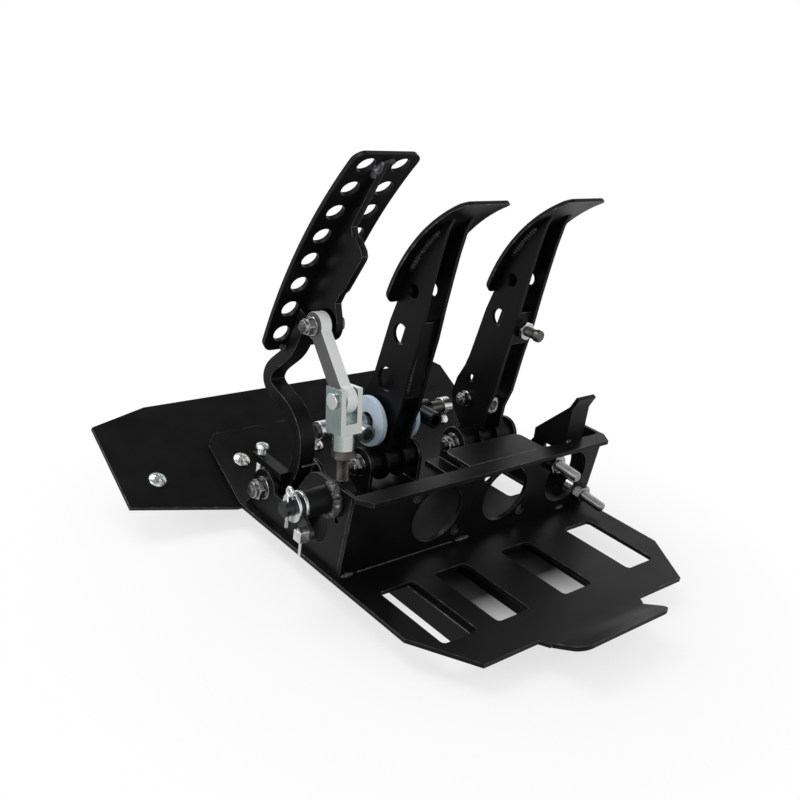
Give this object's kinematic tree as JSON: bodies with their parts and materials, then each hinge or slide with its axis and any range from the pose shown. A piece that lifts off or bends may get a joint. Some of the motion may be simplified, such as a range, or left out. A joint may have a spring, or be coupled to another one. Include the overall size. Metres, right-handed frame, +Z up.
{
  "type": "pedal box",
  "caption": "Floor-mounted car pedal box: folded steel tray with cylinder bores, throttle with cable crank, brake with balance bar and clutch with stop bolt.",
  "frame": {"origin": "centre of the bounding box in plan, on the plane the runners stand on", "axes": "+Z up, +Y towards the driver and up the heel plate, +X from throttle to clutch"},
  "size_m": [0.332, 0.3394, 0.2788],
  "materials": {
    "black_coat": "satin",
    "zinc_plate": "zinc plated",
    "nylon": "matte",
    "link_metal": "satin"
  },
  "bodies": {
    "frame": {"base_tray": "black_coat", "tray_runners": "black_coat", "front_face": "black_coat", "side_left": "black_coat", "side_right": "black_coat", "top_plate": "black_coat", "heel_plate": "black_coat", "heel_screws": "zinc_plate", "heel_nuts": "zinc_plate", "stop_bracket": "black_coat", "throttle_bracket": "black_coat", "brake_bracket": "black_coat", "clutch_bracket": "black_coat", "crank_tube": "black_coat", "cylinder_bolts": "zinc_plate", "cylinder_nuts": "zinc_plate", "throttle_pivot_bolt": "zinc_plate", "throttle_pivot_nut": "zinc_plate", "brake_pivot_bolt": "zinc_plate", "brake_pivot_nut": "zinc_plate", "clutch_pivot_bolt": "zinc_plate", "clutch_pivot_nut": "zinc_plate"},
    "throttle": {"throttle_blade": "black_coat", "throttle_rib": "black_coat", "throttle_arm": "black_coat", "throttle_hub": "black_coat", "throttle_stop_screw": "zinc_plate", "link_bolt": "zinc_plate", "link_nut": "zinc_plate", "return_spring": "zinc_plate"},
    "link": {"throttle_link": "link_metal"},
    "crank": {"crank_shaft": "zinc_plate", "crank_rod": "zinc_plate", "rod_nut": "zinc_plate", "crank_clevis": "zinc_plate", "clevis_pin": "zinc_plate", "crank_lever": "zinc_plate", "cable_clamp": "zinc_plate", "shaft_washers": "zinc_plate", "split_pin": "zinc_plate"},
    "brake": {"brake_plate_left": "black_coat", "brake_plate_right": "black_coat", "brake_pad": "black_coat", "brake_hub": "black_coat", "bar_sleeve": "black_coat", "brake_stiffener": "black_coat", "nylon_washers": "nylon"},
    "balance": {"balance_bar": "zinc_plate", "bar_barrels": "zinc_plate", "bar_nuts": "zinc_plate"},
    "clutch": {"clutch_plate_left": "black_coat", "clutch_plate_right": "black_coat", "clutch_pad": "black_coat", "clutch_hub": "black_coat", "clutch_block": "black_coat", "clutch_stop_bolt": "zinc_plate", "clutch_stop_nut": "zinc_plate", "clutch_rod_bolt": "zinc_plate", "clutch_trunnion": "zinc_plate"}
  },
  "joints": [
    {"name": "throttle_pivot", "type": "hinge", "parent": "frame", "child": "throttle", "pos_m": [-0.0695, 0.06027, 0.039], "axis": [1, 0, 0], "range_deg": [0, 9], "stiffness_Nm_per_rad": 1.5, "springref_deg": -22.92},
    {"name": "link_pivot", "type": "hinge", "parent": "throttle", "child": "link", "pos_m": [-0.0785, 0.02997, 0.165], "axis": [1, 0, 0], "range_deg": [-18.98, 1]},
    {"name": "crank_pivot", "type": "hinge", "parent": "frame", "child": "crank", "pos_m": [-0.0785, -0.01273, 0.067], "axis": [1, 0, 0], "range_deg": [-1, 23.92]},
    {"name": "brake_pivot", "type": "hinge", "parent": "frame", "child": "brake", "pos_m": [0.0215, 0.06027, 0.039], "axis": [1, 0, 0], "range_deg": [0, 15]},
    {"name": "balance_tilt", "type": "hinge", "parent": "brake", "child": "balance", "pos_m": [0.0215, 0.06727, 0.07], "axis": [0, 0, 1], "range_deg": [-4, 4]},
    {"name": "clutch_pivot", "type": "hinge", "parent": "frame", "child": "clutch", "pos_m": [0.119, 0.06027, 0.039], "axis": [1, 0, 0], "range_deg": [0, 24]}
  ],
  "couplings": [
    {"joint": "link_pivot", "follows": "throttle_pivot", "ratio": -1.998},
    {"joint": "crank_pivot", "follows": "throttle_pivot", "ratio": 2.547}
  ]
}
